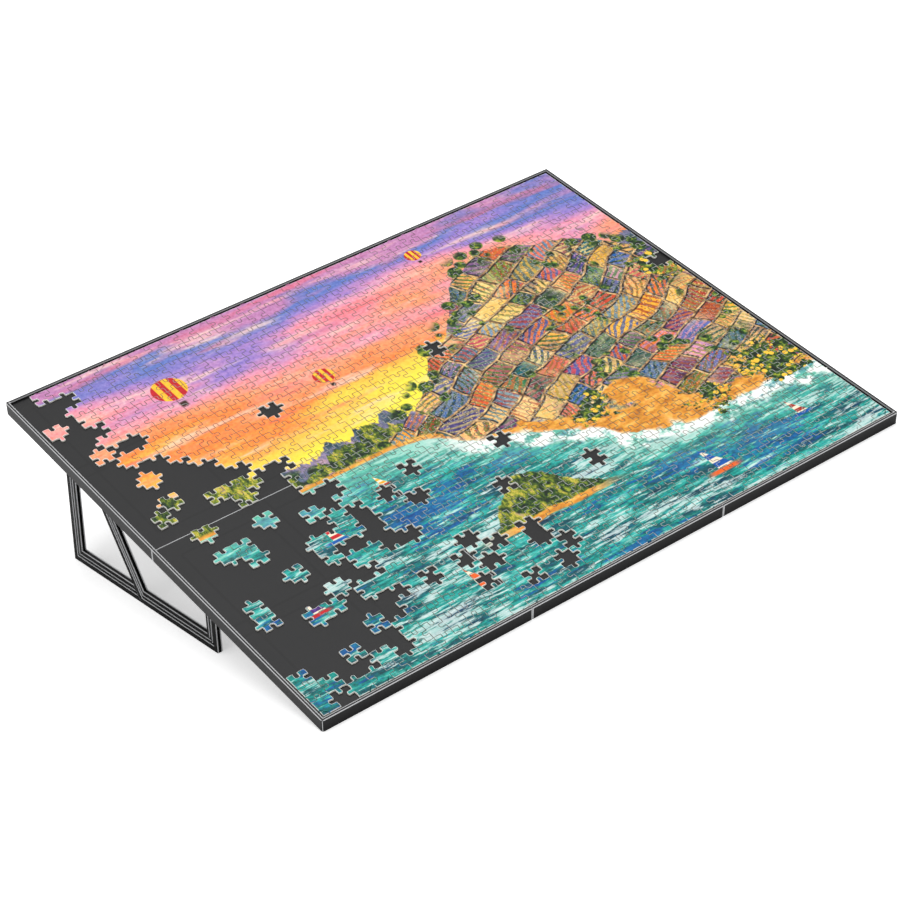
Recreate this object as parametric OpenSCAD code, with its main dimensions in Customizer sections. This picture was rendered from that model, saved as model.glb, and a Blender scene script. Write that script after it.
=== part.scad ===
// Puzzle carrier: six moulded trays that lock edge to edge into one tilted board,
// with a folding leg under each side and a part-built jigsaw lying on the deck.
// Lengths are millimetres. The board is drawn flat, front edge on y = 0 and underside
// on z = 0, and is then tipped back on its front edge to stand as it is used.

/* [Board] */
// Width of the locked board, left to right
board_w = 762; // [660:6:840]
// Depth of the locked board, front to back
board_d = 610; // [580:5:660]
// Height of the board's outer edge
board_t = 15; // [14.5:0.5:18]
// Width of the raised rim
rim_w = 4; // [3.5:0.1:6]
// Height of the rim above the deck
lip_h = 3; // [2.6:0.1:3.4]
// Thickness of the deck
deck_t = 2.5; // [2:0.1:2.8]
// Thickness of the tray walls
wall_t = 2.4; // [2:0.1:3]
// Radius of the board's four corners
corner_r = 3; // [1:0.5:5]
// Width of the broken edge along the rim
edge_break = 0.8; // [0.4:0.1:1.2]
// Width of the broken edge on each side of a seam
seam_break = 0.6; // [0.3:0.1:0.9]
// Gap between neighbouring trays
seam_gap = 0.2; // [0.1:0.05:0.4]

/* [Ribs] */
// Distance of the rib ring from the tray's edges
rib_inset = 21; // [15:1:28]
// Thickness of a rib
rib_t = 1.6; // [1.2:0.1:2.2]
// Spacing of the paired ribs that cross the middle
rib_pair = 18; // [12:1:26]
// Height of a deep rib's free edge above the underside
rib_setback = 1; // [0.5:0.1:2]

/* [Locking tongues] */
// Width of a tongue
tongue_w = 30; // [20:1:40]
// Reach of a tongue into the next tray
tongue_l = 9; // [6:0.5:14]
// Thickness of a tongue
tongue_t = 4.8; // [4:0.1:5]
// Height of a tongue's lower face above the underside
tongue_z = 2.4; // [1.5:0.1:2.6]
// Clearance round a tongue in its slot
tongue_gap = 0.2; // [0.1:0.05:0.3]
// Place of the two tongues on a tray's back edge, as a share of the width left beside a leg
tongue_share = 0.305; // [0.28:0.005:0.33]

/* [Legs] */
// Tilt of the board in degrees
tilt = 16.1; // [15:0.1:17]
// Thickness of a leg frame
leg_t = 6; // [5:0.2:6.4]
// Width of a leg frame's bars
bar_w = 18; // [14:0.5:21]
// Distance of a leg's outer face from the board's side
leg_inset = 8.6; // [7:0.2:12]
// Height of a folded leg above the underside
fold_clear = 0.8; // [0.5:0.1:1]
// Place of the front post, as a share of the board's depth
post_share = 0.333; // [0.32:0.001:0.35]
// Place of the foot of the shared brace, as a share of the depth
brace_foot_share = 0.5885; // [0.57:0.001:0.6]
// Place of the head of the shared brace, as a share of the depth
brace_head_share = 0.7215; // [0.7:0.001:0.73]
// Place of the head of the rear post, as a share of the depth
rear_head_share = 0.815; // [0.8:0.001:0.825]
// Place of the rear foot, as a share of the depth
rear_foot_share = 0.831; // [0.82:0.001:0.85]
// Depth of the grooves in the leg's faces
groove_d = 1.2; // [0.6:0.1:1.6]
// Gap where the two frames of a leg meet
butt_gap = 0.3; // [0.2:0.1:0.5]

/* [Leg hinges] */
// Diameter of the hinge rod
rod_d = 3; // [2:0.1:3.2]
// Running clearance of the rod in its lugs, on the radius
rod_gap = 0.05; // [0.02:0.01:0.1]
// Width of a hinge lug
lug_w = 8; // [6:0.5:12]
// Clearance between a lug and the leg on each side
lug_gap = 0.3; // [0.2:0.05:0.5]
// Distance of the first lug behind the middle seam, as a share of the board's depth
lug_first_share = 0.036; // [0.03:0.001:0.045]
// Distance between lugs, as a share of the depth
lug_pitch_share = 0.115; // [0.1:0.001:0.12]
// Distance of the rod's ends from the outer lugs' middles
rod_end = 12; // [10:0.5:15]
// Thickness of the stop webs beside a lug
stop_t = 2; // [1.4:0.1:3]
// Distance of the stop webs from a lug's middle
stop_offset = 11; // [9:0.5:14]
// Diameter of the dowel that joins the two frames at the floor
dowel_d = 3; // [2:0.1:3.4]
// Length of that dowel
dowel_l = 22; // [16:1:26]

/* [Jigsaw] */
// Thickness of the jigsaw
piece_t = 2; // [1.6:0.1:2.4]
// Gap between the jigsaw and the rim
jigsaw_play = 2; // [1:0.5:4]
// Gap between the sections of the jigsaw on neighbouring trays
section_gap = 0.3; // [0.2:0.05:0.5]
// Radius of a jigsaw knob
knob_r = 3.3; // [2.4:0.1:3.8]

/* [Hidden] */
$fn = 48;
overrun = 1;
rows = 2;
columns = 3;
panel_w = board_w / columns;
panel_d = board_d / rows;
deck_top = board_t - lip_h;
deck_under = deck_top - deck_t;
hinge_z = fold_clear + leg_t / 2;
hinge_x = board_w / 2 - leg_inset - leg_t / 2;
fold_space = hinge_z + leg_t / 2 + fold_clear;
side_y_shares = [0.25, 0.75];
bar_groove_shares = [[0.36, 0.54], [0.64, 0.82]];
groove_end = leg_t / 3;
lug_ys = [for (i = [0:2]) panel_d + (lug_first_share + i * lug_pitch_share) * board_d];
post_y = post_share * board_d;
brace_foot_y = brace_foot_share * board_d;
brace_head_y = brace_head_share * board_d;
rear_head_y = rear_head_share * board_d;
rear_foot_y = rear_foot_share * board_d;
room_margin = bar_w / 6;

// The jigsaw has ten by twelve pieces to a tray. Rows count from the back of the board.
tray_columns = 10;
tray_rows = 12;
jig_columns = columns * tray_columns;
jig_rows = rows * tray_rows;
pitch_x = (board_w - 2 * rim_w - 2 * jigsaw_play) / jig_columns;
pitch_y = (board_d - 2 * rim_w - 2 * jigsaw_play) / jig_rows;
knob_lift_share = 0.72;
// First built column of each row of pieces
first_built = [1, 2, 2, 3, 2, 3, 2, 4, 5, 6, 7, 7, 8, 8, 8, 8, 8, 8, 7, 5, 7, 5, 5, 2];
// Pieces laid in front of the built picture, as column and row
laid = [[1, 5], [3, 10], [4, 10], [5, 10], [4, 11], [6, 13], [7, 13], [7, 14], [5, 15], [6, 15],
    [7, 15], [5, 16], [6, 16], [6, 17], [7, 17], [6, 18], [4, 20], [0, 21], [0, 22], [1, 22], [0, 23]];
// Pieces still missing inside the built picture
missing = [[8, 7], [8, 14], [8, 15], [8, 17], [9, 14], [10, 15], [8, 19], [9, 19], [9, 21], [10, 18],
    [10, 20], [11, 13], [11, 19], [11, 22], [12, 19], [12, 20], [13, 17], [13, 21], [13, 22],
    [15, 14], [17, 8], [18, 18], [29, 8]];
// Clusters of joined loose pieces, as steps to the right and to the back from the first
single = [[0, 0]];
pair_across = [[0, 0], [1, 0]];
pair_back = [[0, 0], [0, -1]];
corner_three = [[0, 0], [1, 0], [1, -1]];
// Loose pieces: place across and down the board as shares of it, turn in degrees, knob pattern, cluster
loose_rear_shares = [[0.033, 0.125, 2, 10, single], [0.080, 0.338, 4, 9, single],
    [0.080, 0.400, 95, 6, single], [0.051, 0.442, 128, 3, single]];
loose_front_shares = [[0.082, 0.505, 93, 5, single], [0.158, 0.541, 4, 10, single],
    [0.076, 0.577, 3, 6, corner_three], [0.132, 0.681, 12, 9, single], [0.053, 0.715, 3, 6, pair_back],
    [0.160, 0.748, 2, 5, single], [0.104, 0.800, 4, 3, pair_across], [0.103, 0.880, 5, 6, single],
    [0.143, 0.915, 48, 10, single]];

// Height of the floor below the flat board's underside, at a distance from the front edge
function floor_at(y) = -y * tan(tilt);

// Corner where the edge through a and b meets the edge through c and d
function meet(a, b, c, d) =
    let(u = b - a, v = d - c, w = c - a, k = (w[0] * v[1] - w[1] * v[0]) / (u[0] * v[1] - u[1] * v[0]))
    a + k * u;

// Edge from a to b moved to its left by a distance
function shifted(a, b, by) =
    let(u = (b - a) / norm(b - a), n = [-u[1], u[0]]) [a + by * n, b + by * n];

// Outline whose edges are moved inwards, each by its own distance; points run anticlockwise
function drawn_in(points, by) =
    let(count = len(points),
        edges = [for (i = [0:count - 1]) shifted(points[i], points[(i + 1) % count], by[i])])
    [for (i = [0:count - 1]) let(e = edges[(i + count - 1) % count], f = edges[i]) meet(e[0], e[1], f[0], f[1])];

// Stand the flat board on its front edge and its legs, centred over the origin
module stand() {
    translate([0, (board_t * sin(tilt) - board_d * cos(tilt)) / 2, 0]) rotate([tilt, 0, 0]) children();
}

// Plate in the plane of the legs, from an outline of distance back and height
module side_plate(points, thick) {
    rotate([90, 0, 90]) linear_extrude(thick) polygon(points);
}

// Put a left-hand part on the right as well
module on_side(side) {
    if (side < 0) children();
    else mirror([1, 0, 0]) children();
}

// Board's outer outline with rounded corners
module board_plan() {
    translate([-board_w / 2, 0]) {
        translate([corner_r, 0]) square([board_w - 2 * corner_r, board_d]);
        translate([0, corner_r]) square([board_w, board_d - 2 * corner_r]);
        for (x = [corner_r, board_w - corner_r], y = [corner_r, board_d - corner_r])
            translate([x, y]) circle(corner_r);
    }
}

// Whole board as one block with its top outer edges broken
module board_block() {
    w = board_w / 2;
    intersection() {
        linear_extrude(board_t) board_plan();
        translate([0, board_d, 0]) rotate([90, 0, 0]) linear_extrude(board_d)
            polygon([[-w, 0], [w, 0], [w, board_t - edge_break], [w - edge_break, board_t],
                [edge_break - w, board_t], [-w, board_t - edge_break]]);
        translate([-w, 0, 0]) side_plate([[0, 0], [board_d, 0], [board_d, board_t - edge_break],
            [board_d - edge_break, board_t], [edge_break, board_t], [0, board_t - edge_break]], board_w);
    }
}

// Space above the deck, flared where it meets the rim's top
module deck_space() {
    w = board_w / 2 - rim_w;
    top = board_t + overrun;
    flare = edge_break + overrun;
    intersection() {
        translate([0, board_d, 0]) rotate([90, 0, 0]) linear_extrude(board_d)
            polygon([[-w, deck_top], [w, deck_top], [w, board_t - edge_break], [w + flare, top],
                [-w - flare, top], [-w, board_t - edge_break]]);
        translate([-board_w / 2, 0, 0]) side_plate([[rim_w, deck_top], [board_d - rim_w, deck_top],
            [board_d - rim_w, board_t - edge_break], [board_d - rim_w + flare, top],
            [rim_w - flare, top], [rim_w, board_t - edge_break]], board_w);
    }
}

// Square-edged bar whose corner cuts a vee along a seam
module vee(length) {
    rotate([0, 0, 45]) cube([seam_break * sqrt(2), seam_break * sqrt(2), length], center = true);
}

// Vees along one seam that runs front to back
module seam_vees_back() {
    for (z = [deck_top, board_t]) translate([0, board_d / 2, z]) rotate([90, 0, 0])
        if (z == deck_top) vee(board_d - 2 * rim_w);
        else for (s = [-1, 1]) translate([0, 0, s * (board_d - rim_w) / 2]) vee(rim_w + overrun);
    for (y = [0, board_d]) translate([0, y, board_t / 2]) vee(board_t + overrun);
}

// Vees along the seam that runs left to right
module seam_vees_across() {
    for (z = [deck_top, board_t]) translate([0, panel_d, z]) rotate([0, 90, 0])
        if (z == deck_top) vee(board_w - 2 * rim_w);
        else for (s = [-1, 1]) translate([0, 0, s * (board_w - rim_w) / 2]) vee(rim_w + overrun);
    for (x = [-board_w / 2, board_w / 2]) translate([x, panel_d, board_t / 2]) vee(board_t + overrun);
}

// Floor plan of one tray: columns -1 to 1 from the left, rows 0 and 1 from the front
module tray_plan(column, row, inset = 0) {
    left = column * panel_w - panel_w / 2;
    trim = seam_gap / 2;
    x0 = left + inset + (column > -1 ? trim : 0);
    x1 = left + panel_w - inset - (column < 1 ? trim : 0);
    y0 = row * panel_d + inset + (row > 0 ? trim : 0);
    y1 = (row + 1) * panel_d - inset - (row < 1 ? trim : 0);
    translate([x0, y0]) square([x1 - x0, y1 - y0]);
}

// Square ring of ribs and the two pairs that cross the middle
module rib_plan(column, row) {
    middle = [column * panel_w, (row + 0.5) * panel_d];
    difference() {
        tray_plan(column, row, rib_inset);
        tray_plan(column, row, rib_inset + rib_t);
    }
    for (s = [-1, 1]) {
        translate(middle + [s * rib_pair / 2, 0]) square([rib_t, panel_d - 2 * wall_t], center = true);
        translate(middle + [0, s * rib_pair / 2]) square([panel_w - 2 * wall_t, rib_t], center = true);
    }
}

// Inner edge of the room for the folded left leg, at a distance from the front edge
function room_edge(y) = hinge_z - hinge_x - floor_at(y) + room_margin;

// Room that a folding leg needs on the left: wide at the rear foot, narrow at the front post
module leg_room() {
    side = -hinge_x - leg_t / 2 - fold_clear;
    front = post_y - room_margin;
    back = rear_foot_y + room_margin;
    translate([0, 0, -overrun]) linear_extrude(fold_space + overrun)
        polygon([[side, front], [room_edge(post_y), front], [room_edge(rear_foot_y), back], [side, back]]);
}

// Lug with its bore for the hinge rod, and the webs that stop the leg when it stands
module hinge_lug(y) {
    translate([-hinge_x, y, 0]) {
        difference() {
            union() {
                translate([-leg_t / 2, -lug_w / 2, hinge_z]) cube([leg_t, lug_w, deck_under - hinge_z + overrun]);
                translate([0, lug_w / 2, hinge_z]) rotate([90, 0, 0]) cylinder(h = lug_w, d = leg_t);
            }
            translate([0, lug_w / 2 + overrun, hinge_z]) rotate([90, 0, 0])
                cylinder(h = lug_w + 2 * overrun, r = rod_d / 2 + rod_gap);
        }
        for (s = [-1, 1]) translate([wall_t / 2 - board_w / 2 + hinge_x, s * stop_offset - stop_t / 2, 0])
            cube([leg_inset - wall_t / 2 - lug_gap, stop_t, deck_under + overrun]);
    }
}

// Tongue places along one edge of a tray; on the back edge they keep clear of the folded legs
function side_tongue_ys(row) = [for (s = side_y_shares) (row + s) * panel_d];
function row_tongue_xs(column) =
    let(free_w = -room_edge(panel_d) - panel_w / 2, middle = column * (panel_w + free_w) / 2)
    [for (s = [-1, 1]) middle + s * tongue_share * free_w];

// Tongue standing out towards +y from the origin, or the slot for it
module tongue(gap = 0) {
    root = gap > 0 ? seam_gap + gap : wall_t / 2;
    translate([-tongue_w / 2 - gap, -root, tongue_z - gap])
        cube([tongue_w + 2 * gap, tongue_l + root + gap, tongue_t + 2 * gap]);
}

// Tongues of one tray, or with a gap the slots for its neighbours' tongues
module tongues(column, row) {
    if (row == 0) for (x = row_tongue_xs(column)) translate([x, panel_d, 0]) tongue();
    if (column != 0) for (y = side_tongue_ys(row)) translate([column * panel_w / 2, y, 0])
        rotate([0, 0, column * 90]) tongue();
}
module slots(column, row) {
    if (row == 1) for (x = row_tongue_xs(column)) translate([x, panel_d, 0]) tongue(tongue_gap);
    if (column == 0) for (s = [-1, 1], y = side_tongue_ys(row)) translate([s * panel_w / 2, y, 0])
        rotate([0, 0, s * 90]) tongue(tongue_gap);
}

// One moulded tray: deck, rim on the board's outer edges, walls, ribs, tongues and slots
module tray(column, row) {
    color([0.22, 0.22, 0.23]) stand() {
        difference() {
            intersection() {
                board_block();
                linear_extrude(board_t) tray_plan(column, row);
            }
            deck_space();
            for (s = [-1, 1]) translate([s * panel_w / 2, 0, 0]) seam_vees_back();
            seam_vees_across();
            translate([0, 0, -overrun]) linear_extrude(deck_under + overrun) tray_plan(column, row, wall_t);
            if (column != 0) on_side(column) leg_room();
            slots(column, row);
        }
        difference() {
            translate([0, 0, rib_setback]) linear_extrude(deck_under - rib_setback + deck_t / 2)
                rib_plan(column, row);
            if (column != 0) on_side(column) leg_room();
            slots(column, row);
        }
        tongues(column, row);
        if (column != 0 && row == 1) on_side(column) for (y = lug_ys) hinge_lug(y);
    }
}

// Outlines of the two frames that make a leg, sharing the sloping brace
brace_head = [brace_head_y, hinge_z];
brace_foot = [brace_foot_y, floor_at(brace_foot_y)];
front_outline = [[post_y, hinge_z], [post_y, floor_at(post_y)], brace_foot, brace_head];
rear_outline = [brace_head + [butt_gap, 0], brace_foot + [butt_gap, 0],
    [rear_foot_y, floor_at(rear_foot_y)], [rear_head_y, hinge_z]];

// Hinge barrel along a frame's top rail, between two distances from the front edge
module barrel(from, to) {
    translate([leg_t / 2, to, hinge_z]) rotate([90, 0, 0]) cylinder(h = to - from, d = leg_t);
}

// Leg frame from its outline; an open edge is left without a bar
module leg_frame(points, open_edge, from, to) {
    bars = [for (i = [0:3]) i == open_edge ? -overrun : bar_w];
    translate([-hinge_x - leg_t / 2, 0, 0]) difference() {
        union() {
            side_plate(points, leg_t);
            barrel(from, to);
        }
        translate([-overrun, 0, 0]) side_plate(drawn_in(points, bars), leg_t + 2 * overrun);
        for (share = bar_groove_shares, x = [groove_d - leg_t, leg_t - groove_d])
            translate([x, 0, 0]) difference() {
                side_plate(drawn_in(points, [for (i = [0:3]) i == open_edge ? groove_end : share[0] * bar_w]),
                    leg_t);
                translate([-overrun, 0, 0]) side_plate(drawn_in(points,
                    [for (i = [0:3]) i == open_edge ? -overrun : share[1] * bar_w]), leg_t + 2 * overrun);
            }
        for (y = lug_ys) translate([leg_t / 2, y + lug_w / 2 + lug_gap, hinge_z]) rotate([90, 0, 0])
            cylinder(h = lug_w + 2 * lug_gap, d = leg_t * sqrt(2) + fold_clear);
        translate([leg_t / 2, lug_ys[2] + rod_end, hinge_z]) rotate([90, 0, 0])
            cylinder(h = lug_ys[2] - lug_ys[0] + 2 * rod_end, d = rod_d);
        translate([hinge_x + leg_t / 2, 0, 0]) dowel_shape();
    }
}

// Hinge rod through both frames and the three lugs
module rod_shape() {
    translate([-hinge_x, lug_ys[2] + rod_end, hinge_z]) rotate([90, 0, 0])
        cylinder(h = lug_ys[2] - lug_ys[0] + 2 * rod_end, d = rod_d);
}

// Dowel through the joint of the two frames at the floor
module dowel_shape() {
    centre = brace_foot + bar_w / 2 * [tan(tilt) + 0.5, 1];
    translate([-hinge_x, centre[0], centre[1]]) rotate([90 - tilt, 0, 0])
        cylinder(h = dowel_l, d = dowel_d, center = true);
}

module leg_part(side) {
    color([0.1, 0.1, 0.1]) stand() on_side(side) children();
}
module leg_pin(side) {
    color([0.7, 0.7, 0.72]) stand() on_side(side) children();
}

// Whether a piece lies in its place in the picture
function held(list, cell) = len([for (item = list) if (item == cell) 1]) > 0;
function built(c, r) = c < first_built[r] ? held(laid, [c, r]) : !held(missing, [c, r]);

// Side on which the knob between two pieces points: 1 is right or forwards. It looks random but repeats exactly.
function knob_side(c, r, turn) = floor(97.3 * abs(sin(73 * c + 131 * r + 57 * turn))) % 2 > 0 ? 1 : -1;

// Left edge of a column and front edge of a row of pieces
function column_x(c) = c * pitch_x - jig_columns * pitch_x / 2;
function row_y(r) = rim_w + jigsaw_play + (jig_rows - 1 - r) * pitch_y;

// Stretch of one row of pieces, from one column up to another
module row_stretch(from, to, r) {
    polygon([[column_x(from), row_y(r)], [column_x(to), row_y(r)],
        [column_x(to), row_y(r - 1)], [column_x(from), row_y(r - 1)]]);
}

// Knobs on the open edges of one tray's section: those of built pieces, or the sockets in them
module open_knobs(c0, r0, sockets) {
    reach = knob_lift_share * knob_r;
    for (c = [c0 + 1:c0 + tray_columns - 1], r = [r0:r0 + tray_rows - 1])
        if (built(c - 1, r) != built(c, r)) {
            s = knob_side(c, r, 0);
            owner = s > 0 ? built(c - 1, r) : built(c, r);
            if (owner != sockets) translate([column_x(c) + s * reach, row_y(r) + pitch_y / 2]) circle(knob_r);
        }
    for (c = [c0:c0 + tray_columns - 1], r = [r0 + 1:r0 + tray_rows - 1])
        if (built(c, r - 1) != built(c, r)) {
            s = knob_side(c, r, 1);
            owner = s > 0 ? built(c, r - 1) : built(c, r);
            if (owner != sockets) translate([column_x(c) + pitch_x / 2, row_y(r) + pitch_y - s * reach])
                circle(knob_r);
        }
}

// Small rounds where two pieces would touch only at their corners
module corner_rounds(c0, r0) {
    for (c = [c0 + 1:c0 + tray_columns - 1], r = [r0 + 1:r0 + tray_rows - 1])
        if (built(c, r) == built(c - 1, r - 1) && built(c, r - 1) == built(c - 1, r)
            && built(c, r) != built(c - 1, r)) translate([column_x(c), row_y(r - 1)]) circle(knob_r / 4);
}

// Squares of the listed pieces that fall on one tray
module listed_squares(list, c0, r0) {
    for (cell = list)
        if (cell[0] >= c0 && cell[0] < c0 + tray_columns && cell[1] >= r0 && cell[1] < r0 + tray_rows)
            row_stretch(cell[0], cell[0] + 1, cell[1]);
}

// Section of the picture that lies on one tray
module jigsaw(column, row) {
    c0 = (column + 1) * tray_columns;
    c1 = c0 + tray_columns;
    r0 = (1 - row) * tray_rows;
    color([0.45, 0.66, 0.68]) stand() translate([0, 0, deck_top]) linear_extrude(piece_t) difference() {
        union() {
            difference() {
                for (r = [r0:r0 + tray_rows - 1])
                    if (first_built[r] < c1) row_stretch(max(first_built[r], c0), c1, r);
                listed_squares(missing, c0, r0);
            }
            listed_squares(laid, c0, r0);
            open_knobs(c0, r0, false);
        }
        open_knobs(c0, r0, true);
        corner_rounds(c0, r0);
        if (column > -1) translate([column_x(c0) - overrun, 0]) square([section_gap / 2 + overrun, board_d]);
        if (row > 0) translate([-board_w / 2, row_y(r0 + tray_rows - 1) - overrun])
            square([board_w, section_gap / 2 + overrun]);
    }
}

// Place of a knob on a loose piece: out from the middle of its edge by a distance
module edge_spot(edge, out) {
    half = edge % 2 == 0 ? pitch_x / 2 : pitch_y / 2;
    rotate(edge * 90) translate([half + out, 0]) circle(knob_r);
}

// Knobs on a cluster's outer edges, or the sockets there; the pattern's four bits say which edge has which
module cluster_knobs(cluster, pattern, knobs) {
    steps = [[1, 0], [0, 1], [-1, 0], [0, -1]];
    reach = (knobs ? 1 : -1) * knob_lift_share * knob_r;
    for (cell = cluster, edge = [0:3])
        if (!held(cluster, cell + steps[edge]) && (floor(pattern / pow(2, edge)) % 2 == 1) == knobs)
            translate([cell[0] * pitch_x, cell[1] * pitch_y]) edge_spot(edge, reach);
}

// Loose pieces laid on the deck
module loose_pieces(spots) {
    color([0.45, 0.66, 0.68]) for (spot = spots)
        stand() translate([(spot[0] - 0.5) * board_w, (1 - spot[1]) * board_d, deck_top]) rotate(spot[2])
            linear_extrude(piece_t) difference() {
                union() {
                    for (cell = spot[4]) polygon([for (corner = [[0, 0], [1, 0], [1, 1], [0, 1]])
                        let(at = cell + corner - [0.5, 0.5]) [at[0] * pitch_x, at[1] * pitch_y]]);
                    cluster_knobs(spot[4], spot[3], true);
                }
                cluster_knobs(spot[4], spot[3], false);
            }
}

module tray_front_left() tray(-1, 0);
module tray_front_centre() tray(0, 0);
module tray_front_right() tray(1, 0);
module tray_rear_left() tray(-1, 1);
module tray_rear_centre() tray(0, 1);
module tray_rear_right() tray(1, 1);
module leg_front_frame_left() leg_part(-1) leg_frame(front_outline, -1, post_y, brace_head_y - leg_t / 2);
module leg_front_frame_right() leg_part(1) leg_frame(front_outline, -1, post_y, brace_head_y - leg_t / 2);
module leg_rear_frame_left() leg_part(-1) leg_frame(rear_outline, 0, brace_head_y + butt_gap, rear_head_y);
module leg_rear_frame_right() leg_part(1) leg_frame(rear_outline, 0, brace_head_y + butt_gap, rear_head_y);
module hinge_rod_left() leg_pin(-1) rod_shape();
module hinge_rod_right() leg_pin(1) rod_shape();
module leg_dowel_left() leg_pin(-1) dowel_shape();
module leg_dowel_right() leg_pin(1) dowel_shape();
module jigsaw_front_left() jigsaw(-1, 0);
module jigsaw_front_centre() jigsaw(0, 0);
module jigsaw_front_right() jigsaw(1, 0);
module jigsaw_rear_left() jigsaw(-1, 1);
module jigsaw_rear_centre() jigsaw(0, 1);
module jigsaw_rear_right() jigsaw(1, 1);
module loose_pieces_front() loose_pieces(loose_front_shares);
module loose_pieces_rear() loose_pieces(loose_rear_shares);

tray_front_left();
tray_front_centre();
tray_front_right();
tray_rear_left();
tray_rear_centre();
tray_rear_right();
leg_front_frame_left();
leg_rear_frame_left();
leg_front_frame_right();
leg_rear_frame_right();
hinge_rod_left();
hinge_rod_right();
leg_dowel_left();
leg_dowel_right();
jigsaw_front_left();
jigsaw_front_centre();
jigsaw_front_right();
jigsaw_rear_left();
jigsaw_rear_centre();
jigsaw_rear_right();
loose_pieces_front();
loose_pieces_rear();
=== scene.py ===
import math
import bpy
import numpy as np
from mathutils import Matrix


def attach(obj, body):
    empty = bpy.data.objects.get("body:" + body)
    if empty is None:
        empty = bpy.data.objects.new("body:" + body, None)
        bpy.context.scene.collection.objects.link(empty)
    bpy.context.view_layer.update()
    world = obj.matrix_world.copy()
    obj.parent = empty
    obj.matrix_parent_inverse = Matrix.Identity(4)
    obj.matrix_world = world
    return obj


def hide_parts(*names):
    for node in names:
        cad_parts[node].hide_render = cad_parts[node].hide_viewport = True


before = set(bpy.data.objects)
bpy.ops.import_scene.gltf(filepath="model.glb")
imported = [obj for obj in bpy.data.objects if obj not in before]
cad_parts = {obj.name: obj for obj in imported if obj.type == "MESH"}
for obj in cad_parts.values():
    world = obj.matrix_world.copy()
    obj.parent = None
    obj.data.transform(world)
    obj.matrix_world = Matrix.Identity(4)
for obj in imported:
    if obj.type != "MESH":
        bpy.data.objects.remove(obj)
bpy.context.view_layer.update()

# Puzzle carrier: the trays, legs, rods and dowels come from the frame and get their finish here.
# The jigsaw is cut here piece by piece, because its curved cuts and its print need real meshes.
# Lengths are in metres, and colours are written as they look on screen.

board = {
    "width": 0.762, "depth": 0.610, "edge": 0.015, "rim": 0.004, "lip": 0.003,
    "tilt": math.radians(16.1),
    "columns": 3, "rows": 2,
}
board["deck"] = board["edge"] - board["lip"]
board["middle"] = (board["depth"] * math.cos(board["tilt"]) - board["edge"] * math.sin(board["tilt"])) / 2
panelWidth, panelDepth = board["width"] / board["columns"], board["depth"] / board["rows"]


def srgb(red, green, blue):  # a colour as it looks on screen, 0 to 255, turned into light values
    shares = np.array([red, green, blue]) / 255
    light = np.where(shares > 0.04045, ((shares + 0.055) / 1.055) ** 2.4, shares / 12.92)
    return (*[float(v) for v in light], 1.0)


def onBoard(points):  # flat board places, tipped back about the front edge and centred as the frame is
    x, y, z = np.moveaxis(np.asarray(points, float), -1, 0)
    back, up = math.cos(board["tilt"]), math.sin(board["tilt"])
    return np.stack([x, y * back - z * up - board["middle"], y * up + z * back], -1)


# Camera and lamps

view = {
    "place": (-1.2433, -2.0701, 1.2367),
    "turn": (63.324, 10.113, -35.852),
    "lens": 97.71, "sensor": 36.0, "reach": 50,
}
camera = bpy.data.objects.new("photoCamera", bpy.data.cameras.new("photoCamera"))
bpy.context.scene.collection.objects.link(camera)
camera.data.sensor_width = view["sensor"]
camera.data.lens = view["lens"]
camera.data.clip_end = view["reach"]
camera.location = view["place"]
camera.rotation_euler = [math.radians(a) for a in view["turn"]]
bpy.context.scene.camera = camera
bpy.context.scene.view_settings.view_transform = "Standard"

lamps = {
    "overhead": {"place": (0.2, 0.3, 2.6), "size": 2.4, "power": 40, "aim": (0, 0, 0.1)},
    "leftSoftbox": {"place": (-2.4, -0.6, 1.1), "size": 1.3, "power": 7, "aim": (0, 0, 0.1)},
    "frontStrip": {"place": (0.6, -2.6, 0.9), "size": 1.1, "power": 10, "aim": (0, -0.1, 0.1)},
}


def hangLamp(name, facts):  # a square area lamp that faces its aim
    lamp = bpy.data.lights.new(name, "AREA")
    lamp.energy, lamp.size = facts["power"], facts["size"]
    body = bpy.data.objects.new(name, lamp)
    bpy.context.scene.collection.objects.link(body)
    body.location = facts["place"]
    away = np.array(facts["place"]) - np.array(facts["aim"])
    flat = math.hypot(away[0], away[1])
    body.rotation_euler = (math.atan2(flat, away[2]), 0, math.atan2(away[0], -away[1]))


for lampName, lampFacts in lamps.items():
    hangLamp(lampName, lampFacts)


# Node helpers: each puts one node on the sheet and gives back its output

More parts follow.
